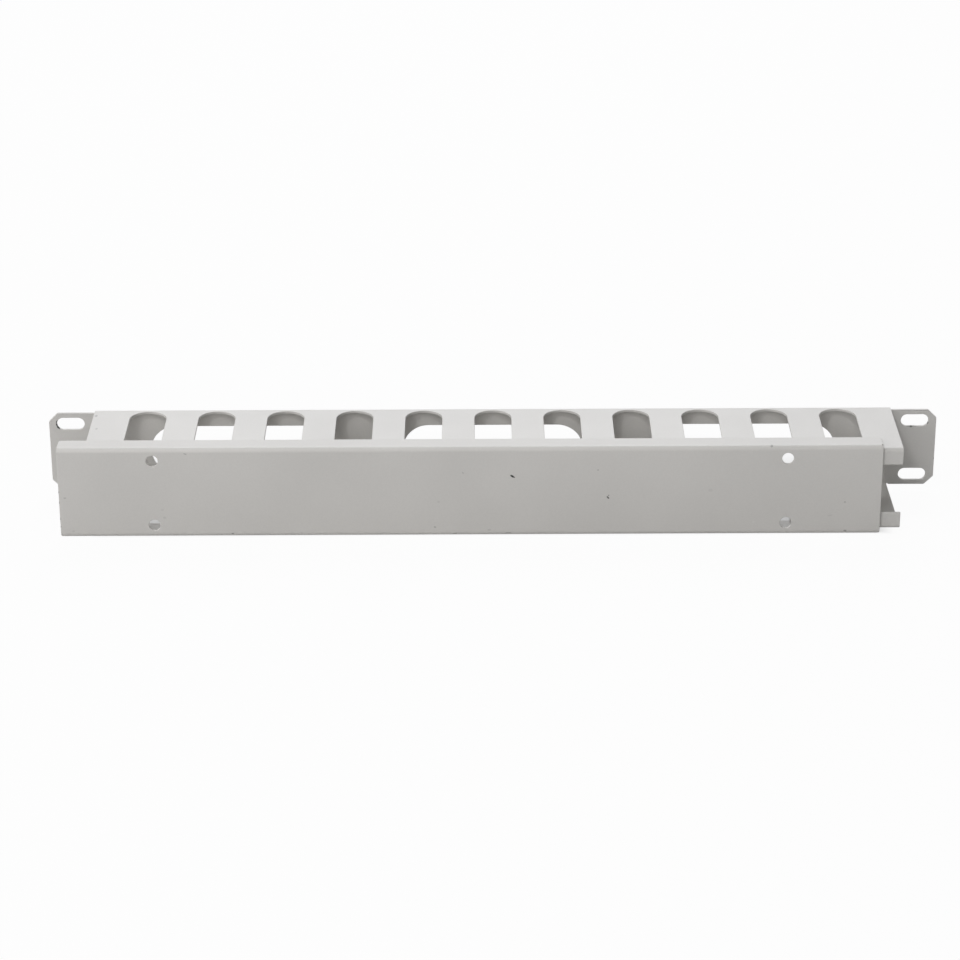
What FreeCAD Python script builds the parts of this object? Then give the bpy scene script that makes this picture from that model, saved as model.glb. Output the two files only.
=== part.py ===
import FreeCAD, Part
import math
import os

# Horizontal cable manager, 19 inch, 1U: a slotted channel folded from sheet steel and a C-section
# cover that hooks over the ends of its fingers and slides along them.
#
# Frame: origin at the centre of the ears' rear face, which lies on the rack posts. X runs along the
# rack opening, the front of the channel points to -Y, Z is up. Depths below are measured forward
# from that rear face.

# ---- back plate and rack ears -------------------------------------------------------------------
panel_width = 482.6         # over the two ears
ear_height = 44.0
ear_chamfer_width = 4.8     # same along both edges, all four outer corners
ear_corner_r = 1.2          # blends the chamfer into the edges
rack_slot_inset = 11.8      # from an ear's end to the middle of its slots
rack_slot_rise = 31.75      # between the slot centres, bottom to top
rack_slot_length = 15.0
rack_slot_height = 6.8

# ---- channel ------------------------------------------------------------------------------------
sheet = 1.5
bend_r = 0.6                # inner radius of the channel's folds
channel_length = 432.0
channel_depth = 58.2        # rear face to the lips' front face
flange_toe_in = 0.45        # degrees, each flange leans towards the middle at the front
lip_height = 9.2

window_count = 3
window_pitch = 137.4
window_length = 98.0
window_height = 28.2

slot_count = 11
slot_pitch = 37.2
slot_width = 19.8
slot_rear_margin = 3.4      # rear face to the round end of a finger slot

# ---- cover --------------------------------------------------------------------------------------
cover_sheet = 1.2
cover_bend_r = 1.3
cover_length = 435.0
cover_height = 51.2
cover_flange_depth = 14.0
fold_notch_r = 1.5          # the web's corners, rounded away where each fold runs out
cover_corner_r = 1.6        # the flanges' rear corners
lip_gap = 0.6               # lips' front face to the inside of the cover's web
grip_gap = 0.3              # rear edge of a cover flange to the channel flange under it
cover_shift = -12.4         # how far the cover stands from its centred place
cover_hole_d = 6.2
lip_hole_d = 4.5
hole_column = 4.5           # in slot pitches from the middle: between the two outermost slots

# ---- what follows from them ---------------------------------------------------------------------
channel_height = ear_height + 2.0 * sheet       # the flanges' inner faces meet the ears' edges
toe = math.tan(math.radians(flange_toe_in))
front_half = channel_height / 2.0 - channel_depth * toe
hole_x = hole_column * slot_pitch
hole_z = front_half - lip_height / 2.0          # middle of the lips
cover_depth = channel_depth + lip_gap + cover_sheet
rack_slot_span = panel_width - 2.0 * rack_slot_inset        # 459.0 between the slots' middles


def vec(x, y, z):
    return FreeCAD.Vector(x, y, z)


def toward(a, b, distance):
    """The point at a distance from a on the way to b."""
    step = b.sub(a)
    return a.add(step.multiply(distance / step.Length))


def rounded_loop(points, radii):
    """A closed wire through the corner points, each corner rounded with its own radius."""
    count = len(points)
    corners = []
    for i in range(count):
        here = points[i]
        before = points[i - 1]
        after = points[(i + 1) % count]
        if radii[i] <= 0.0:
            corners.append((here, here, here))
            continue
        half = before.sub(here).getAngle(after.sub(here)) / 2.0
        reach = radii[i] / math.tan(half)
        start = toward(here, before, reach)
        end = toward(here, after, reach)
        middle = toward(here, start.add(end).multiply(0.5), radii[i] / math.sin(half) - radii[i])
        corners.append((start, middle, end))
    edges = []
    for i in range(count):
        start, middle, end = corners[i]
        if radii[i] > 0.0:
            edges.append(Part.Arc(start, middle, end).toShape())
        onward = corners[(i + 1) % count][0]
        if end.distanceToPoint(onward) > 1e-6:
            edges.append(Part.LineSegment(end, onward).toShape())
    return Part.Wire(edges)


def offset_corner(before, here, after, thickness):
    """Where the inner faces meet behind an outer corner of a folded sheet (2-D, sheet on the right)."""
    first = (here[0] - before[0], here[1] - before[1])
    second = (after[0] - here[0], after[1] - here[1])
    normals = []
    for leg in (first, second):
        length = math.hypot(leg[0], leg[1])
        normals.append((leg[1] / length, -leg[0] / length))
    share = 1.0 + normals[0][0] * normals[1][0] + normals[0][1] * normals[1][1]
    across = (normals[0][0] + normals[1][0]) * thickness / share
    along = (normals[0][1] + normals[1][1]) * thickness / share
    return (here[0] + across, here[1] + along)


def folded_sheet(outer, thickness, inner_r, length):
    """A sheet folded along the outer corner points (depth, height) and run along X, centred."""
    inner = []
    last = len(outer) - 1
    for i in range(last + 1):
        before = outer[i - 1] if i > 0 else (2 * outer[0][0] - outer[1][0], 2 * outer[0][1] - outer[1][1])
        if i < last:
            after = outer[i + 1]
        else:
            after = (2 * outer[last][0] - outer[last - 1][0], 2 * outer[last][1] - outer[last - 1][1])
        inner.append(offset_corner(before, outer[i], after, thickness))
    loop = outer + inner[::-1]
    bends = [0.0] + [inner_r + thickness] * (last - 1) + [0.0]
    bends += [0.0] + [inner_r] * (last - 1) + [0.0]
    points = [vec(-length / 2.0, -depth, height) for depth, height in loop]
    return Part.Face(rounded_loop(points, bends)).extrude(vec(length, 0, 0))


def obround_along_y(x, z, length, height, near, far):
    """A round-ended cutter lying along X, run from depth near to depth far."""
    r = height / 2.0
    run = length / 2.0 - r
    corners = [
        vec(x - run - r, -near, z - r),
        vec(x + run + r, -near, z - r),
        vec(x + run + r, -near, z + r),
        vec(x - run - r, -near, z + r),
    ]
    # a hair under the full radius keeps a short straight side between the two arcs of each end
    wire = rounded_loop(corners, [r - 1e-4] * 4)
    return Part.Face(wire).extrude(vec(0, near - far, 0))


def round_hole(x, z, diameter, near, far):
    return Part.makeCylinder(diameter / 2.0, far - near, vec(x, -near, z), vec(0, -1, 0))


def ear_plate():
    """Back plate with both ears, flat, its four outer corners chamfered and blended."""
    half_w = panel_width / 2.0
    half_h = ear_height / 2.0
    c = ear_chamfer_width
    outline = [
        (-half_w + c, -half_h),
        (half_w - c, -half_h),
        (half_w, -half_h + c),
        (half_w, half_h - c),
        (half_w - c, half_h),
        (-half_w + c, half_h),
        (-half_w, half_h - c),
        (-half_w, -half_h + c),
    ]
    points = [vec(x, 0, z) for x, z in outline]
    wire = rounded_loop(points, [ear_corner_r] * len(points))
    return Part.Face(wire).extrude(vec(0, -sheet, 0))


def channel_section():
    """Lip, flange, back plate, flange, lip: outer corners as (depth, height)."""
    half = channel_height / 2.0
    return [
        (channel_depth, -front_half + lip_height),
        (channel_depth, -front_half),
        (0.0, -half),
        (0.0, half),
        (channel_depth, front_half),
        (channel_depth, front_half - lip_height),
    ]


def finger_slot(x):
    """Cutter for one slot through both flanges and both lips, round at the rear, open at the front."""
    r = slot_width / 2.0
    rear = slot_rear_margin
    front = channel_depth + 2.0 * sheet
    corners = [
        vec(x - r, -front, -channel_height),
        vec(x + r, -front, -channel_height),
        vec(x + r, -rear, -channel_height),
        vec(x - r, -rear, -channel_height),
    ]
    wire = rounded_loop(corners, [0.0, 0.0, r - 1e-4, r - 1e-4])
    return Part.Face(wire).extrude(vec(0, 0, 2.0 * channel_height))


def centred(count, pitch):
    return [(i - (count - 1) / 2.0) * pitch for i in range(count)]


def build_channel():
    body = folded_sheet(channel_section(), sheet, bend_r, channel_length)
    body = body.fuse(ear_plate()).removeSplitter()
    cutters = [finger_slot(x) for x in centred(slot_count, slot_pitch)]
    for x in centred(window_count, window_pitch):
        cutters.append(obround_along_y(x, 0.0, window_length, window_height, -sheet, 2.0 * sheet))
    for x in (-rack_slot_span / 2.0, rack_slot_span / 2.0):
        for z in (-rack_slot_rise / 2.0, rack_slot_rise / 2.0):
            cutters.append(obround_along_y(x, z, rack_slot_length, rack_slot_height, -sheet, 2.0 * sheet))
    for x in (-hole_x, hole_x):
        for z in (-hole_z, hole_z):
            cutters.append(round_hole(x, z, lip_hole_d, channel_depth - 2.0 * sheet, channel_depth + sheet))
    return body.cut(cutters)


def cover_section():
    """Flange, web, flange: each flange toes in until its rear edge rides on the channel's flange."""
    half = cover_height / 2.0
    rear = cover_depth - cover_flange_depth
    rear_half = channel_height / 2.0 - rear * toe + grip_gap + cover_sheet
    return [
        (rear, rear_half),
        (cover_depth, half),
        (cover_depth, -half),
        (rear, -rear_half),
    ]


def corner_waste(corner, inward, along, r):
    """What is cut away to round a corner: a square prism less the quarter round that stays.

    The corner is one end of the edge, along runs to its other end, and the two inward steps lead
    into the material, square to it."""
    first = vec(*inward[0]).multiply(r)
    second = vec(*inward[1]).multiply(r)
    start = vec(*corner)
    middle = start.add(first).add(second)
    bulge = toward(middle, start, r)
    arc = Part.Arc(start.add(first), bulge, start.add(second)).toShape()
    over = first.add(second).multiply(-0.5)
    points = [start.add(second), start.add(second).add(over), start.add(over), start.add(first).add(over)]
    points.append(start.add(first))
    edges = [arc]
    for i in range(len(points) - 1):
        edges.append(Part.LineSegment(points[i], points[i + 1]).toShape())
    return Part.Face(Part.Wire(edges)).extrude(vec(*along))


def build_cover():
    body = folded_sheet(cover_section(), cover_sheet, cover_bend_r, cover_length)
    half_x = cover_length / 2.0
    half_z = cover_height / 2.0
    rear = cover_depth - cover_flange_depth
    fold = cover_bend_r + cover_sheet
    behind = cover_depth - 2.0 * cover_sheet
    ahead = cover_depth + cover_sheet
    cutters = []
    for x in (-hole_x, hole_x):
        for z in (-hole_z, hole_z):
            cutters.append(round_hole(x, z, cover_hole_d, behind, ahead))
    for side in (-1.0, 1.0):
        for up in (-1.0, 1.0):
            in_x = (-side, 0.0, 0.0)
            in_z = (0.0, 0.0, -up)
            in_y = (0.0, -1.0, 0.0)
            at = (side * half_x, -ahead, up * half_z)
            cutters.append(corner_waste(at, (in_x, in_z), (0.0, fold + cover_sheet, 0.0), fold_notch_r))
            at = (side * half_x, -rear, up * (half_z - fold))
            cutters.append(corner_waste(at, (in_x, in_y), (0.0, 0.0, up * (2.0 * fold)), cover_corner_r))
    body = body.cut(cutters)
    body.translate(vec(cover_shift, 0, 0))
    return body


def export(shape, name):
    solid = shape.Solids[0]
    if len(shape.Solids) != 1 or not solid.isValid():
        raise ValueError(name + " is not one sound solid")
    solid.exportStep(os.path.join("parts", name + ".step"))
    box = solid.BoundBox
    print(name, "volume", round(solid.Volume, 1), "faces", len(solid.Faces),
          "x", round(box.XMin, 2), round(box.XMax, 2),
          "y", round(box.YMin, 2), round(box.YMax, 2),
          "z", round(box.ZMin, 2), round(box.ZMax, 2))


os.makedirs("parts", exist_ok=True)
export(build_channel(), "channel_body")
export(build_cover(), "front_cover")
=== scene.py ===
import math

import bmesh
import bpy
from bpy.props import FloatProperty, FloatVectorProperty, IntProperty, PointerProperty
from mathutils import Matrix, Vector


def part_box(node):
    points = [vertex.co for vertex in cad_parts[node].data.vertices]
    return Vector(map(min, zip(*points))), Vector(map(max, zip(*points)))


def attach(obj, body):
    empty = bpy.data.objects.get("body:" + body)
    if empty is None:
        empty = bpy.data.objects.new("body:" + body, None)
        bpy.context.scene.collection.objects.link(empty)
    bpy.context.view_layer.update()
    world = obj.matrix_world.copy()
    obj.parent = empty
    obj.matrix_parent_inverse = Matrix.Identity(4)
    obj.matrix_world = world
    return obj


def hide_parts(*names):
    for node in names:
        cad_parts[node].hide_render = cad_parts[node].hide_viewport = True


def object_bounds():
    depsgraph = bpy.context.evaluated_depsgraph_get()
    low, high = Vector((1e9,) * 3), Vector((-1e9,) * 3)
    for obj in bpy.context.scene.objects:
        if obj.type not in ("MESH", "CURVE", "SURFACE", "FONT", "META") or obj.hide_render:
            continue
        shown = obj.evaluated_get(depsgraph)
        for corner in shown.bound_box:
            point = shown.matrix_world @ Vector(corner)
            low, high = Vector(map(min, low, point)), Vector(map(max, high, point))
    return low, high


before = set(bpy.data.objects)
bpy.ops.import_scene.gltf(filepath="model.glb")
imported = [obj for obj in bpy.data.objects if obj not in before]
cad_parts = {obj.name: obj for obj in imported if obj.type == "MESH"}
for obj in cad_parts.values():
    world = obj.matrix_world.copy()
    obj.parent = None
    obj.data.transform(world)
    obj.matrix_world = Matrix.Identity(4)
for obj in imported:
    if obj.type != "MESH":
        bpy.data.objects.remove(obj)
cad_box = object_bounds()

bl_info = {
    "name": "Cable manager",
    "version": (1, 0, 0),
    "blender": (4, 5, 0),
    "location": "3D View > Sidebar > Cable manager",
    "description": "Folds a rack cable manager's channel and cover from flat blanks and coats them",
    "category": "Mesh",
}

channel_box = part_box("channel_body")
cover_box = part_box("front_cover")

# The channel's ears lie on the rack posts at y = 0 and its front points to -Y.
CHANNEL_DEPTH = -channel_box[0].y
COVER_DEPTH = -cover_box[0].y

HAIR = 1e-6                 # a thousandth of a millimetre, less than any real size here
MILLIMETRE = 0.001

# Paint chips and specks, and on the channel painted shade along the rims of the ear slots, in millimetres
# at the piece's place at rest: x, y and z of the middle, length, width, turn about Y in degrees, and tone
# from -1, dark, to 1, light.
COVER_MARKS = [
    (10.0, -60.0, 8.9, 2.9, 1.1, 30.0, -1.0),
    (60.5, -60.0, -3.5, 1.7, 0.8, 50.0, -0.85),
    (60.8, -60.0, -2.3, 1.0, 0.6, -60.0, -0.6),
    (-226.6, -60.0, -2.5, 1.7, 0.8, 0.0, -0.22),
    (-162.1, -59.5, 22.5, 1.6, 0.8, 10.0, -0.3),
    (-16.1, -60.0, 11.0, 1.2, 0.8, 40.0, -0.22),
    (55.0, -60.0, 12.4, 1.1, 0.8, 0.0, -0.25),
    (-31.1, -60.0, -20.2, 1.4, 0.9, 15.0, -0.3),
    (186.0, -60.0, -6.7, 1.2, 1.0, 0.0, -0.25),
    (186.7, -59.6, -23.3, 1.6, 1.0, 0.0, -0.45),
    (146.3, -59.0, 25.1, 1.5, 1.0, 0.0, -0.35),
    (-175.4, -60.0, -9.6, 1.6, 1.0, 0.0, -0.1),
    (-174.4, -60.0, -14.1, 1.8, 1.2, 20.0, -0.12),
    (-223.1, -60.0, -21.8, 1.5, 1.0, 0.0, -0.12),
    (-29.1, -60.0, -5.6, 1.4, 1.2, 0.0, -0.1),
    (-2.3, -60.0, -22.0, 2.0, 1.0, 0.0, -0.15),
    (114.6, -60.0, 0.5, 2.2, 1.8, 0.0, -0.08),
    (178.4, -60.0, -14.4, 2.6, 0.9, -10.0, -0.1),
    (137.8, -60.0, -18.0, 1.6, 1.2, 0.0, 0.15),
    (-229.8, -59.6, 1.0, 0.7, 1.5, 0.0, -0.5),
    (-229.8, -59.6, -5.1, 0.7, 1.2, 0.0, -0.5),
    (-229.8, -59.6, -14.6, 0.7, 1.5, 0.0, -0.45),
    (-229.8, -59.6, -19.2, 0.7, 1.2, 0.0, -0.4),
    (-138.6, -59.7, -23.5, 1.4, 0.8, 0.0, -0.5),
    (-20.5, -59.7, -24.0, 2.4, 0.8, 0.0, -0.3),
    (7.9, -59.7, -23.8, 3.0, 0.8, 0.0, -0.3),
]
CHANNEL_MARKS = [
    (-214.4, -8.9, 23.4, 1.5, 1.0, 0.0, -0.3),
    (-212.3, -26.7, 23.3, 1.3, 1.0, 0.0, -0.22),
    # the next three marks: painted shade of the inner wall at the left end of the left ear's upper slot,
    # dark together with its bare cut edge
    (-236.9, -1.0, 17.2, 1.9, 0.7, -68.0, -0.85),
    (-237.1, -1.0, 15.3, 1.9, 0.8, 80.0, -1.0),
    (-236.3, -1.0, 13.6, 2.0, 0.8, 50.0, -1.0),
    # the next three marks: painted shade of the inner walls along the bottom and right end of the right
    # ear's upper slot, dark together with their bare cut edges
    (227.6, -1.2, 12.3, 5.5, 0.6, 0.0, -0.4),
    (227.6, -1.2, 12.2, 1.7, 0.8, 0.0, -0.8),
    (236.8, -1.2, 14.3, 1.4, 0.7, -65.0, -0.6),
    (241.2, -1.2, -6.7, 0.7, 1.3, 0.0, -0.5),
    (235.9, -1.5, -19.0, 1.2, 1.0, 0.0, 0.6),
]


def linear(code):
    """An sRGB hex colour as linear red, green and blue."""
    parts = [int(code[i : i + 2], 16) / 255.0 for i in (1, 3, 5)]
    return [c / 12.92 if c <= 0.04045 else ((c + 0.055) / 1.055) ** 2.4 for c in parts]


# ---- settings ------------------------------------------------------------------------------------


class ChannelSizes(bpy.types.PropertyGroup):
    """The channel and its rack ears."""

    panel_width: FloatProperty(
        name="Panel width", description="Over the two ears", unit="LENGTH",
        default=channel_box[1].x - channel_box[0].x,
    )
    ear_height: FloatProperty(
        name="Ear height", description="Height of the ears", unit="LENGTH", default=0.044
    )
    ear_chamfer: FloatProperty(
        name="Ear chamfer", description="Width of the 45 degree corner cuts", unit="LENGTH",
        default=0.0048,
    )
    ear_blend: FloatProperty(
        name="Ear blend", description="Radius between chamfer and edge", unit="LENGTH",
        default=0.0012,
    )
    rack_slot_inset: FloatProperty(
        name="Rack slot inset", description="Ear's end to the middle of its slots", unit="LENGTH",
        default=0.0118,
    )
    rack_slot_rise: FloatProperty(
        name="Rack slot rise", description="Between the two slots of an ear", unit="LENGTH",
        default=0.03175,
    )
    rack_slot_length: FloatProperty(
        name="Rack slot length", description="Length of a rack slot", unit="LENGTH", default=0.015
    )
    rack_slot_height: FloatProperty(
        name="Rack slot height", description="Height of a rack slot", unit="LENGTH", default=0.0068
    )
    length: FloatProperty(
        name="Channel length", description="Length of the trough", unit="LENGTH", default=0.432
    )
    height: FloatProperty(
        name="Channel height", description="Over the two flanges at the rear", unit="LENGTH",
        default=0.047,
    )
    toe_in: FloatProperty(
        name="Toe-in", description="Lean of each flange towards the middle", unit="ROTATION",
        default=math.radians(0.45),
    )
    sheet: FloatProperty(
        name="Sheet", description="Thickness of the channel's steel", unit="LENGTH", default=0.0015
    )
    bend: FloatProperty(
        name="Bend", description="Outer radius of the folds", unit="LENGTH", default=0.0021
    )
    lip: FloatProperty(
        name="Lip", description="Height of the turned-in lips", unit="LENGTH", default=0.0092
    )
    window_length: FloatProperty(
        name="Window length", description="Length of a rear window", unit="LENGTH", default=0.098
    )
    window_height: FloatProperty(
        name="Window height", description="Height of a rear window", unit="LENGTH", default=0.0282
    )
    window_pitch: FloatProperty(
        name="Window pitch", description="Between two rear windows", unit="LENGTH", default=0.1374
    )
    slots: IntProperty(name="Finger slots", description="Slots along each flange", default=11, min=1)
    slot_pitch: FloatProperty(
        name="Slot pitch", description="Between two finger slots", unit="LENGTH", default=0.0372
    )
    slot_width: FloatProperty(
        name="Slot width", description="Width of a finger slot", unit="LENGTH", default=0.0198
    )
    slot_margin: FloatProperty(
        name="Slot margin", description="Rear face to a slot's round end", unit="LENGTH", default=0.0034
    )
    lip_hole: FloatProperty(
        name="Lip hole", description="Holes through the lips", unit="LENGTH", default=0.0045
    )
    hole_column: FloatProperty(
        name="Hole column", description="Hole's place from the middle, in slot pitches", default=4.5
    )


class CoverSizes(bpy.types.PropertyGroup):
    """The cover that hooks over the fingers."""

    length: FloatProperty(
        name="Cover length", description="Length of the cover", unit="LENGTH",
        default=cover_box[1].x - cover_box[0].x,
    )
    height: FloatProperty(
        name="Cover height", description="Over the two outer fold corners", unit="LENGTH", default=0.0512
    )
    rear_height: FloatProperty(
        name="Rear height", description="Over the flanges' rear edges", unit="LENGTH", default=0.0492774
    )
    flange: FloatProperty(
        name="Flange", description="Depth of a flange", unit="LENGTH",
        default=cover_box[1].y - cover_box[0].y,
    )
    sheet: FloatProperty(
        name="Sheet", description="Thickness of the cover's steel", unit="LENGTH", default=0.0012
    )
    bend: FloatProperty(
        name="Bend", description="Outer radius of the folds", unit="LENGTH", default=0.0025
    )
    web_corner: FloatProperty(
        name="Web corner", description="Radius of the web's four corners", unit="LENGTH",
        default=0.0015,
    )
    flange_corner: FloatProperty(
        name="Flange corner", description="Radius of the flanges' rear corners", unit="LENGTH",
        default=0.0016,
    )
    hole: FloatProperty(
        name="Hole", description="Round holes at both ends of the web", unit="LENGTH", default=0.0062
    )


class CoatFinish(bpy.types.PropertyGroup):
    """The powder coat on both pieces."""

    colour: FloatVectorProperty(
        name="Coat colour", description="Light grey, a little warm", subtype="COLOR", size=3,
        min=0.0, max=1.0, default=linear("#D7D5D1"),
    )
    # this colour also paints the shade along the rims of the channel's ear slots
    chip_and_shade_colour: FloatVectorProperty(
        name="Chip and shade colour", description="Bare steel where the coat has gone", subtype="COLOR", size=3,
        min=0.0, max=1.0, default=linear("#2B2A28"),
    )
    speck_colour: FloatVectorProperty(
        name="Speck colour", description="Pale dust baked into the coat", subtype="COLOR", size=3,
        min=0.0, max=1.0, default=(0.9, 0.9, 0.88),
    )
    roughness: FloatProperty(
        name="Roughness", description="Roughness of the satin coat", subtype="FACTOR",
        min=0.0, max=1.0, default=0.42,
    )
    peel: FloatProperty(
        name="Orange peel", description="Distance between two bumps of the coat", unit="LENGTH",
        default=0.0014,
    )
    edge_round: FloatProperty(
        name="Edge round", description="How far the coat rounds a cut edge", unit="LENGTH",
        default=0.0003,
    )
    bend_steps: IntProperty(name="Bend steps", description="Facets around a fold", default=8, min=2)
    arc_steps: IntProperty(
        name="Arc steps", description="Facets around a quarter of a hole", default=10, min=2
    )


class StageLook(bpy.types.PropertyGroup):
    """Floor, lights and camera."""

    floor_colour: FloatVectorProperty(
        name="Floor colour", description="White paper", subtype="COLOR", size=3,
        min=0.0, max=1.0, default=linear("#DADADA"),
    )
    open_white: FloatProperty(
        name="Open white", description="How much of the open floor is the backdrop's white",
        subtype="FACTOR", min=0.0, max=1.0, default=0.96,
    )
    shaded_white: FloatProperty(
        name="Shaded white", description="The same for the floor under the trough",
        subtype="FACTOR", min=0.0, max=1.0, default=0.35,
    )
    ambient: FloatProperty(name="Ambient", description="Light from all round", min=0.0, default=0.18)
    key: FloatProperty(
        name="Key lamp", description="Power of the small lamp high at the front", unit="POWER",
        default=7.0,
    )
    front: FloatProperty(
        name="Front lamp", description="Power of the lamp at the front", unit="POWER", default=7.6
    )
    left: FloatProperty(
        name="Left lamp", description="Power of the lamp at the left end", unit="POWER", default=12.3
    )
    rear: FloatProperty(
        name="Rear lamp", description="Power of the lamp above the rear", unit="POWER", default=17.9
    )
    lens: FloatProperty(name="Lens", description="Focal length", unit="CAMERA", default=114.12)
    aim: FloatVectorProperty(
        name="Aim", description="The point that the camera looks at", subtype="TRANSLATION", size=3,
        default=(-0.007111, -0.028, -0.006992), precision=6,
    )
    distance: FloatProperty(
        name="Distance", description="Camera to the point it looks at", unit="LENGTH", default=1.64
    )
    elevation: FloatProperty(
        name="Elevation", description="Camera above the horizon", unit="ROTATION",
        default=math.radians(23.472),
    )
    pan: FloatProperty(
        name="Pan", description="Camera round the object", unit="ROTATION",
        default=math.radians(-0.082),
    )
    roll: FloatProperty(
        name="Roll", description="Camera about its own axis", unit="ROTATION",
        default=math.radians(-0.214),
    )


class CableManagerSettings(bpy.types.PropertyGroup):
    """All the settings of the cable manager."""

    channel: PointerProperty(type=ChannelSizes)
    cover: PointerProperty(type=CoverSizes)
    coat: PointerProperty(type=CoatFinish)
    stage: PointerProperty(type=StageLook)


# ---- nodes and materials -------------------------------------------------------------------------


def add_node(tree, kind, links=(), **settings):
    """Adds one node. Settings named in_N fill input N, the others are the node's own, and links are
    pairs of an input and the socket that feeds it."""
    node = tree.nodes.new(kind)
    for name, value in settings.items():
        if name.startswith("in_"):
            node.inputs[int(name[3:])].default_value = value
        else:
            setattr(node, name, value)
    for socket, source in links:
        tree.links.new(source, node.inputs[socket])
    return node


def powder_coat(name, coat, marks):
    """Polyester powder coat on mild steel, sprayed and baked: satin, light grey, its surface a fine
    orange peel. The marks are chips down to the bare steel and specks in the coat; on the channel some
    dark marks along the ear slots' rims are painted shade of the slots' inner walls, together with their
    bare cut edges."""
    made = bpy.data.materials.new(name)
    made.use_nodes = True
    tree = made.node_tree
    tree.nodes.clear()
    place = add_node(tree, "ShaderNodeTexCoord").outputs["Object"]

    # the coat's thickness varies over 70 mm, which shifts its tone by up to three percent
    drift = add_node(tree, "ShaderNodeTexNoise", [(0, place)], in_2=1.0 / 0.070, in_3=2.0, in_4=0.5)
    drift = add_node(
        tree, "ShaderNodeMapRange", [(0, drift.outputs["Fac"])], in_1=0.3, in_2=0.7, in_3=0.97, in_4=1.03
    )
    # powder grains that flowed out unevenly, 0.9 mm apart so that they show
    grain = add_node(tree, "ShaderNodeTexNoise", [(0, place)], in_2=1.0 / 0.0009, in_3=1.0, in_4=0.5)
    tone = add_node(
        tree, "ShaderNodeMapRange", [(0, grain.outputs["Fac"])], in_1=0.25, in_2=0.75, in_3=0.985, in_4=1.015
    )
    tone = add_node(
        tree, "ShaderNodeMath", [(0, drift.outputs[0]), (1, tone.outputs[0])], operation="MULTIPLY"
    )
    colour = add_node(
        tree, "ShaderNodeVectorMath", [(1, tone.outputs[0])], operation="MULTIPLY", in_0=coat.colour
    ).outputs[0]

    # the marks' outlines are ragged by up to half a millimetre, in bites 0.6 mm apart
    ragged = add_node(tree, "ShaderNodeTexNoise", [(0, place)], in_2=1.0 / 0.0006, in_3=2.0, in_4=0.6)
    ragged = add_node(
        tree, "ShaderNodeVectorMath", [(0, ragged.outputs["Color"])], operation="MULTIPLY_ADD",
        in_1=(0.9 * MILLIMETRE,) * 3, in_2=(-0.45 * MILLIMETRE,) * 3,
    )
    ragged = add_node(
        tree, "ShaderNodeVectorMath", [(0, place), (1, ragged.outputs[0])], operation="ADD"
    ).outputs[0]
    masks = {}
    for x, y, z, long, wide, turn, mark_tone in marks:
        spot = add_node(
            tree, "ShaderNodeMapping", [(0, ragged)], vector_type="TEXTURE",
            in_1=(x * MILLIMETRE, y * MILLIMETRE, z * MILLIMETRE), in_2=(0.0, math.radians(turn), 0.0),
            in_3=(long / 2.0 * MILLIMETRE, max(long, wide) * MILLIMETRE, wide / 2.0 * MILLIMETRE),
        )
        spot = add_node(tree, "ShaderNodeVectorMath", [(0, spot.outputs[0])], operation="LENGTH")
        spot = add_node(
            tree, "ShaderNodeMapRange", [(0, spot.outputs["Value"])], interpolation_type="SMOOTHSTEP",
            in_1=1.2, in_2=0.8, in_3=0.0, in_4=abs(mark_tone),
        ).outputs[0]
        # dark marks are chips, and on the channel some are painted shade at the ear slots' rims; light marks
        # are specks
        kind = "chip_and_shade" if mark_tone < 0.0 else "speck"
        if kind in masks:
            spot = add_node(
                tree, "ShaderNodeMath", [(0, masks[kind]), (1, spot)], operation="MAXIMUM"
            ).outputs[0]
        masks[kind] = spot
    # chips and the painted shade at the ear slots' rims take the colour for bare steel and painted shade
    for kind, mark_colour in (("chip_and_shade", coat.chip_and_shade_colour), ("speck", coat.speck_colour)):
        if kind in masks:
            colour = add_node(
                tree, "ShaderNodeMix", [(0, masks[kind]), (6, colour)], data_type="RGBA",
                in_7=(*mark_colour, 1.0),
            ).outputs[2]

    # handling leaves patches about 12 mm wide that are a little duller
    dull = add_node(tree, "ShaderNodeTexNoise", [(0, place)], in_2=1.0 / 0.012, in_3=3.0, in_4=0.6)
    dull = add_node(
        tree, "ShaderNodeMapRange", [(0, dull.outputs["Fac"])],
        in_1=0.3, in_2=0.7, in_3=coat.roughness - 0.03, in_4=coat.roughness + 0.05,
    )
    peel = add_node(tree, "ShaderNodeTexNoise", [(0, place)], in_2=1.0 / coat.peel, in_3=1.5, in_4=0.5)
    height = peel.outputs["Fac"]
    if "chip_and_shade" in masks:
        # a bump is 0.01 mm high, and chips are as deep as the coat is thick, 0.08 mm, as are the marks of
        # painted shade at the ear slots' rims
        height = add_node(
            tree, "ShaderNodeMath", [(0, masks["chip_and_shade"]), (2, height)], operation="MULTIPLY_ADD", in_1=-8.0
        ).outputs[0]
    bump = add_node(tree, "ShaderNodeBump", [("Height", height)], in_0=0.35, in_1=0.00001)
    shader = add_node(
        tree, "ShaderNodeBsdfPrincipled",
        [("Base Color", colour), ("Roughness", dull.outputs[0]), ("Normal", bump.outputs[0])],
    )
    add_node(tree, "ShaderNodeOutputMaterial", [(0, shader.outputs[0])])
    return made


# ---- folding a blank -----------------------------------------------------------------------------


def wire(bm, points):
    """A closed line through the points (across, along) of a flat blank in the XZ plane. Returns its
    corners in the same order."""
    corners = [bm.verts.new((x, 0.0, s)) for x, s in points]
    for i, corner in enumerate(corners):
        bm.edges.new((corners[i - 1], corner))
    return corners


def round_corners(bm, corners, radius, steps, turn=90.0):
    """Rounds corners of a line, each turning by the given angle."""
    bmesh.ops.bevel(
        bm, geom=corners, affect="VERTICES", offset=radius * math.tan(math.radians(turn) / 2.0),
        offset_type="OFFSET", segments=steps, profile=0.5, material=-1, clamp_overlap=False,
    )


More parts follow.
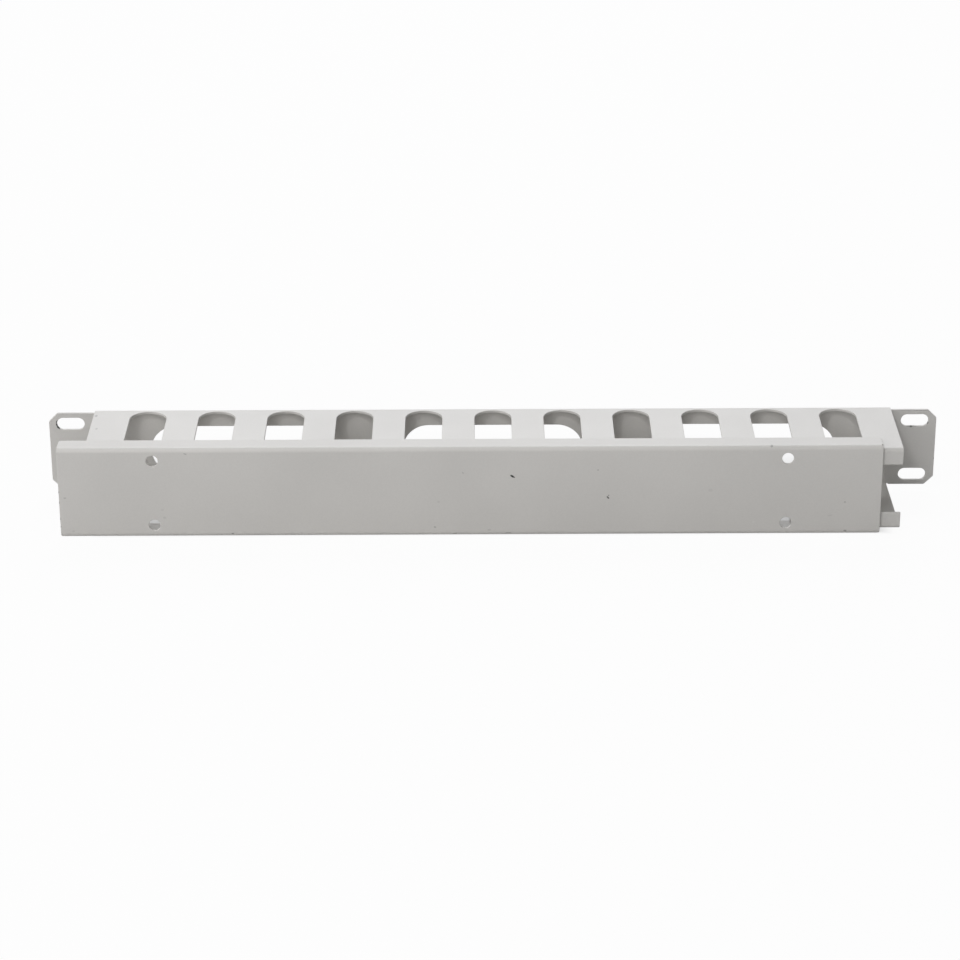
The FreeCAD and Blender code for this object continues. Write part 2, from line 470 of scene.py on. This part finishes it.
def obround(bm, x, s, length, height, steps):
    """A round-ended hole in the blank, a hair short of full rounds so that no two corners meet."""
    a, b = length / 2.0, height / 2.0
    corners = wire(bm, [(x - a, s - b), (x + a, s - b), (x + a, s + b), (x - a, s + b)])
    round_corners(bm, corners, b - HAIR, steps)


def round_hole(bm, x, s, diameter, steps):
    """A round hole in the blank."""
    turned = Matrix.Translation((x, 0.0, s)) @ Matrix.Rotation(math.radians(90.0), 4, "X")
    bmesh.ops.create_circle(bm, cap_ends=False, radius=diameter / 2.0, segments=4 * steps, matrix=turned)


def fill_blank(bm, facing):
    """Fills the lines with sheet, holes left open, its face to +Y or -Y."""
    bmesh.ops.remove_doubles(bm, verts=bm.verts[:], dist=2.0 * HAIR)
    bmesh.ops.triangle_fill(
        bm, use_beauty=True, use_dissolve=False, edges=bm.edges[:], normal=(0.0, facing, 0.0)
    )
    bmesh.ops.dissolve_limit(
        bm, angle_limit=math.radians(0.5), use_dissolve_boundaries=False,
        verts=bm.verts[:], edges=bm.edges[:],
    )
    bm.normal_update()
    wrong = [f for f in bm.faces if f.normal.y * facing < 0.0]
    if wrong:
        bmesh.ops.reverse_faces(bm, faces=wrong)


def fold_lines(start, turn, radius, steps):
    """The lines across the blank that make one fold, with the sheet's turn at each, and its end."""
    step = turn / steps
    chord = 2.0 * radius * math.sin(step / 2.0)
    lines = [(start + i * chord, step if 0 < i < steps else step / 2.0) for i in range(steps + 1)]
    return lines, start + steps * chord


def fold_sheet(bm, folds, towards, reach):
    """Folds both long sides of the blank the same way, the outermost line first, so that each line
    still lies flat when its turn comes. Only the blank within reach of the middle is folded."""
    lines = [line for fold in folds for line in fold]
    # a line half a millimetre before and after each fold keeps the flat sheet flat
    beside = [fold[0][0] - 0.5 * MILLIMETRE for fold in folds]
    beside += [fold[-1][0] + 0.5 * MILLIMETRE for fold in folds]
    for side in (1.0, -1.0):
        for place in [place for place, turn in lines] + beside:
            bmesh.ops.bisect_plane(
                bm, geom=bm.verts[:] + bm.edges[:] + bm.faces[:], dist=0.1 * HAIR,
                plane_co=(0.0, 0.0, side * place), plane_no=(0.0, 0.0, 1.0),
            )
    home = {v: v.co.z for v in bm.verts if abs(v.co.x) < reach + HAIR}
    for side in (1.0, -1.0):
        for place, turn in reversed(lines):
            bmesh.ops.rotate(
                bm, cent=(0.0, 0.0, side * place), matrix=Matrix.Rotation(side * towards * turn, 3, "X"),
                verts=[v for v, s in home.items() if s * side > place + HAIR],
            )


def finish_sheet(bm, name, sheet, coat, material, body, node):
    """Makes the folded skin a piece of sheet steel that stands for its CAD node. The skin is the
    sheet's outer face, so it gets its thickness inwards."""
    mesh = bpy.data.meshes.new(name)
    for face in bm.faces:
        face.smooth = True
    bm.to_mesh(mesh)
    bm.free()
    piece = bpy.data.objects.new(name, mesh)
    bpy.context.scene.collection.objects.link(piece)
    mesh.materials.append(material)
    thick = piece.modifiers.new("Sheet", "SOLIDIFY")
    thick.thickness = sheet
    thick.offset = -1.0
    thick.use_even_offset = True
    edge = piece.modifiers.new("Coated edge", "BEVEL")
    edge.width = coat.edge_round
    edge.segments = 3
    edge.limit_method = "ANGLE"
    edge.angle_limit = math.radians(50.0)
    edge.use_clamp_overlap = False
    edge.miter_outer = "MITER_ARC"
    even = piece.modifiers.new("Even shading", "WEIGHTED_NORMAL")
    even.mode = "FACE_AREA"
    even.weight = 50
    even.keep_sharp = True
    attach(piece, body)
    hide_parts(node)


class CABLEMANAGER_OT_channel(bpy.types.Operator):
    """Cut the channel's blank, fold its flanges and lips and coat it"""

    bl_idname = "cable_manager.channel"
    bl_label = "Fold channel"
    bl_options = {"REGISTER", "UNDO"}

    def execute(self, context):
        settings = context.scene.cable_manager
        size, coat = settings.channel, settings.coat
        back_turn = math.radians(90.0) + size.toe_in
        front_turn = math.radians(90.0) - size.toe_in
        # how far before the corner of a fold its round begins
        back_set = size.bend * math.tan(back_turn / 2.0)
        front_set = size.bend * math.tan(front_turn / 2.0)
        flange = CHANNEL_DEPTH / math.cos(size.toe_in)

        first, flange_start = fold_lines(
            size.height / 2.0 - back_set, back_turn, size.bend, coat.bend_steps
        )
        second, lip_start = fold_lines(
            flange_start + flange - back_set - front_set, front_turn, size.bend, coat.bend_steps
        )
        lip_end = lip_start + size.lip - front_set
        hole_s = lip_start + size.lip / 2.0 - front_set
        apex = flange_start + size.slot_margin / math.cos(size.toe_in) - back_set

        half = size.length / 2.0
        ear_x, ear_s = size.panel_width / 2.0, size.ear_height / 2.0
        corner = size.ear_chamfer
        # the ears are cut free of the trough down to just below the first fold
        root = first[0][0] - 0.2 * MILLIMETRE
        step = ear_s - root
        teeth = []
        for i in range(size.slots):
            x = (i - (size.slots - 1) / 2.0) * size.slot_pitch
            r = size.slot_width / 2.0
            teeth += [(x - r, lip_end), (x - r, apex), (x + r, apex), (x + r, lip_end)]
        upper = [
            (-ear_x, ear_s - corner), (-ear_x + corner, ear_s), (-half - step, ear_s), (-half, root),
            (-half, lip_end), *teeth, (half, lip_end),
            (half, root), (half + step, ear_s), (ear_x - corner, ear_s), (ear_x, ear_s - corner),
        ]
        lower = [(-x, -s) for x, s in upper]
        bm = bmesh.new()
        corners = wire(bm, upper + lower)
        ears = [v for v in corners if abs(v.co.x) > ear_x - corner - HAIR]
        slot_ends = [v for v in corners if abs(abs(v.co.z) - apex) < HAIR]
        round_corners(bm, ears, size.ear_blend, coat.arc_steps // 2, 45.0)
        # the larger the round, the more facets it gets
        round_corners(bm, slot_ends, size.slot_width / 2.0 - HAIR, coat.arc_steps + 4)
        for i in (-1.0, 0.0, 1.0):
            obround(
                bm, i * size.window_pitch, 0.0, size.window_length, size.window_height,
                coat.arc_steps + 6,
            )
        for x in (-1.0, 1.0):
            for s in (-1.0, 1.0):
                obround(
                    bm, x * (ear_x - size.rack_slot_inset), s * size.rack_slot_rise / 2.0,
                    size.rack_slot_length, size.rack_slot_height, coat.arc_steps,
                )
                round_hole(
                    bm, x * size.hole_column * size.slot_pitch, s * hole_s, size.lip_hole, coat.arc_steps
                )
        fill_blank(bm, 1.0)
        fold_sheet(bm, [first, second], 1.0, half)
        coated = powder_coat("powder_coat_channel", coat, CHANNEL_MARKS)
        finish_sheet(bm, "channel_shell", size.sheet, coat, coated, "channel", "channel_body")
        return {"FINISHED"}


class CABLEMANAGER_OT_cover(bpy.types.Operator):
    """Cut the cover's blank, fold its flanges and coat it"""

    bl_idname = "cable_manager.cover"
    bl_label = "Fold cover"
    bl_options = {"REGISTER", "UNDO"}

    def execute(self, context):
        settings = context.scene.cable_manager
        size, coat, channel = settings.cover, settings.coat, settings.channel
        lean = math.atan((size.height - size.rear_height) / 2.0 / size.flange)
        turn = math.radians(90.0) + lean
        setback = size.bend * math.tan(turn / 2.0)
        lines, flange_start = fold_lines(size.height / 2.0 - setback, turn, size.bend, coat.bend_steps)
        end = flange_start + size.flange / math.cos(lean) - setback

        half = size.length / 2.0
        # the web's corners are round as seen from the front, so the blank is cut in along each fold
        corner = size.web_corner
        right = [(half, end), (half, flange_start)]
        for i in range(coat.bend_steps, -1, -1):
            line_height = lines[0][0] + size.bend * math.sin(turn * i / coat.bend_steps)
            over = line_height - size.height / 2.0 + corner
            if over > 0.0:
                right.append((half - corner + math.sqrt(corner ** 2 - over ** 2), lines[i][0]))
        bm = bmesh.new()
        outline = right + [(x, -s) for x, s in reversed(right)]
        outline += [(-x, -s) for x, s in right] + [(-x, s) for x, s in reversed(right)]
        corners = wire(bm, outline)
        rear_corners = [v for v in corners if abs(abs(v.co.z) - end) < HAIR]
        round_corners(bm, rear_corners, size.flange_corner, coat.arc_steps // 2 + 1)
        # the holes are as high as those in the middle of the lips behind them
        front_half = channel.height / 2.0 - CHANNEL_DEPTH * math.tan(channel.toe_in)
        hole_s = front_half - channel.lip / 2.0
        for x in (-1.0, 1.0):
            for s in (-1.0, 1.0):
                round_hole(
                    bm, x * channel.hole_column * channel.slot_pitch, s * hole_s, size.hole, coat.arc_steps
                )
        fill_blank(bm, -1.0)
        fold_sheet(bm, [lines], -1.0, half)
        middle = (cover_box[0].x + cover_box[1].x) / 2.0
        bmesh.ops.translate(bm, vec=(middle, -COVER_DEPTH, 0.0), verts=bm.verts[:])
        coated = powder_coat("powder_coat_cover", coat, COVER_MARKS)
        finish_sheet(bm, "cover_shell", size.sheet, coat, coated, "cover", "front_cover")
        return {"FINISHED"}


# ---- stage ---------------------------------------------------------------------------------------


def white_backdrop(world, ambient):
    """A world that lights at the ambient level and shows white to the camera, in gloss and in glass."""
    world.use_nodes = True
    tree = world.node_tree
    tree.nodes.clear()
    rays = add_node(tree, "ShaderNodeLightPath").outputs
    seen = add_node(
        tree, "ShaderNodeMath", [(0, rays["Is Camera Ray"]), (1, rays["Is Glossy Ray"])], operation="MAXIMUM"
    )
    seen = add_node(
        tree, "ShaderNodeMath", [(0, seen.outputs[0]), (1, rays["Is Transmission Ray"])], operation="MAXIMUM"
    )
    level = add_node(tree, "ShaderNodeMapRange", [(0, seen.outputs[0])], in_3=ambient, in_4=1.0)
    background = add_node(
        tree, "ShaderNodeBackground", [(1, level.outputs[0])], in_0=(1.0, 1.0, 1.0, 1.0)
    )
    add_node(tree, "ShaderNodeOutputWorld", [(0, background.outputs[0])])


def floor_paper(look):
    """White seamless paper, matt. Out in the open it is nearly all the backdrop's white to the camera,
    and under the trough and close behind it, it shows more of its own shade."""
    made = bpy.data.materials.new("white_paper")
    made.use_nodes = True
    tree = made.node_tree
    tree.nodes.clear()
    place = add_node(tree, "ShaderNodeTexCoord").outputs["Object"]
    place = add_node(tree, "ShaderNodeSeparateXYZ", [(0, place)]).outputs
    side = add_node(tree, "ShaderNodeMath", [(0, place["X"])], operation="ABSOLUTE").outputs[0]
    white = None
    # where the shade ends and where the open paper begins, at both ends, in front and behind
    for source, shade_end, open_start in (
        (side, 0.195, 0.215), (place["Y"], -0.050, -COVER_DEPTH), (place["Y"], 0.0, 0.07),
    ):
        share = add_node(
            tree, "ShaderNodeMapRange", [(0, source)], interpolation_type="SMOOTHSTEP",
            in_1=shade_end, in_2=open_start, in_3=look.shaded_white, in_4=look.open_white,
        ).outputs[0]
        if white is not None:
            share = add_node(
                tree, "ShaderNodeMath", [(0, white), (1, share)], operation="MAXIMUM"
            ).outputs[0]
        white = share
    rays = add_node(tree, "ShaderNodeLightPath").outputs
    seen = add_node(tree, "ShaderNodeMath", [(0, rays["Is Camera Ray"]), (1, white)], operation="MULTIPLY")
    paper = add_node(tree, "ShaderNodeBsdfDiffuse", in_0=(*look.floor_colour, 1.0))
    glow = add_node(tree, "ShaderNodeEmission", in_0=(1.0, 1.0, 1.0, 1.0), in_1=1.0)
    mixed = add_node(
        tree, "ShaderNodeMixShader", [(0, seen.outputs[0]), (1, paper.outputs[0]), (2, glow.outputs[0])]
    )
    add_node(tree, "ShaderNodeOutputMaterial", [(0, mixed.outputs[0])])
    return made


def soft_lamp(name, place, size, power, tint):
    """A square soft box, pointed at the middle of the trough."""
    data = bpy.data.lights.new(name, "AREA")
    data.shape = "SQUARE"
    data.size = size
    data.energy = power
    data.color = linear(tint)
    lamp = bpy.data.objects.new(name, data)
    lamp.location = place
    lamp.rotation_mode = "QUATERNION"
    middle = Vector((0.0, -0.03, 0.0))
    lamp.rotation_quaternion = (middle - Vector(place)).to_track_quat("-Z", "Y")
    bpy.context.scene.collection.objects.link(lamp)


class CABLEMANAGER_OT_stage(bpy.types.Operator):
    """Lay the floor, hang the lamps and set the camera"""

    bl_idname = "cable_manager.stage"
    bl_label = "Set stage"
    bl_options = {"REGISTER", "UNDO"}

    def execute(self, context):
        scene = context.scene
        look = scene.cable_manager.stage
        # the paper lies 0.3 mm below the object, so that no face of it shares its plane
        level = cad_box[0].z - 0.3 * MILLIMETRE
        bm = bmesh.new()
        bmesh.ops.create_grid(
            bm, x_segments=1, y_segments=1, size=6.0, matrix=Matrix.Translation((0.0, 0.0, level))
        )
        mesh = bpy.data.meshes.new("floor")
        bm.to_mesh(mesh)
        bm.free()
        floor = bpy.data.objects.new("floor", mesh)
        scene.collection.objects.link(floor)
        mesh.materials.append(floor_paper(look))

        world = bpy.data.worlds.new("studio")
        scene.world = world
        white_backdrop(world, look.ambient)
        soft_lamp("key_lamp", (-0.5, -0.95, 1.6), 0.22, look.key, "#FFFFFF")
        soft_lamp("front_lamp", (-0.45, -1.6, 0.95), 1.2, look.front, "#FFFEFE")
        soft_lamp("left_lamp", (-2.0, -0.5, 0.7), 1.2, look.left, "#FFFEFF")
        soft_lamp("rear_lamp", (0.0, 1.3, 1.4), 1.2, look.rear, "#F8FAFF")

        # the camera's own axes: backwards, across and up, the last two turned by the roll
        back = Vector((
            math.sin(look.pan) * math.cos(look.elevation),
            -math.cos(look.pan) * math.cos(look.elevation),
            math.sin(look.elevation),
        ))
        across = (-back).cross(Vector((0.0, 0.0, 1.0))).normalized()
        up = across.cross(-back)
        turned_across = across * math.cos(look.roll) + up * math.sin(look.roll)
        turned_up = up * math.cos(look.roll) - across * math.sin(look.roll)
        data = bpy.data.cameras.new("camera")
        data.lens = look.lens
        data.sensor_width = 36.0
        data.clip_start = 0.05
        data.clip_end = 50.0
        camera = bpy.data.objects.new("camera", data)
        scene.collection.objects.link(camera)
        basis = Matrix((turned_across, turned_up, back)).transposed()
        camera.matrix_world = Matrix.Translation(look.aim + back * look.distance) @ basis.to_4x4()
        scene.camera = camera
        scene.view_settings.view_transform = "Standard"
        return {"FINISHED"}


class CABLEMANAGER_PT_sidebar(bpy.types.Panel):
    """Sizes, finish and the steps that build the cable manager"""

    bl_idname = "CABLEMANAGER_PT_sidebar"
    bl_label = "Cable manager"
    bl_space_type = "VIEW_3D"
    bl_region_type = "UI"
    bl_category = "Cable manager"

    def draw(self, context):
        settings = context.scene.cable_manager
        for title, group, step in (
            ("Channel", settings.channel, CABLEMANAGER_OT_channel),
            ("Cover", settings.cover, CABLEMANAGER_OT_cover),
            ("Powder coat", settings.coat, None),
            ("Stage", settings.stage, CABLEMANAGER_OT_stage),
        ):
            box = self.layout.box()
            box.label(text=title)
            for name in group.__annotations__:
                box.prop(group, name)
            if step is not None:
                box.operator(step.bl_idname)


CLASSES = (
    ChannelSizes,
    CoverSizes,
    CoatFinish,
    StageLook,
    CableManagerSettings,
    CABLEMANAGER_OT_channel,
    CABLEMANAGER_OT_cover,
    CABLEMANAGER_OT_stage,
    CABLEMANAGER_PT_sidebar,
)


def register():
    for item in CLASSES:
        bpy.utils.register_class(item)
    bpy.types.Scene.cable_manager = PointerProperty(type=CableManagerSettings)


def unregister():
    del bpy.types.Scene.cable_manager
    for item in reversed(CLASSES):
        bpy.utils.unregister_class(item)


def main():
    """Registers the classes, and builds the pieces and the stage."""
    register()
    bpy.ops.cable_manager.channel()
    bpy.ops.cable_manager.cover()
    bpy.ops.cable_manager.stage()


if __name__ == "__main__":
    main()
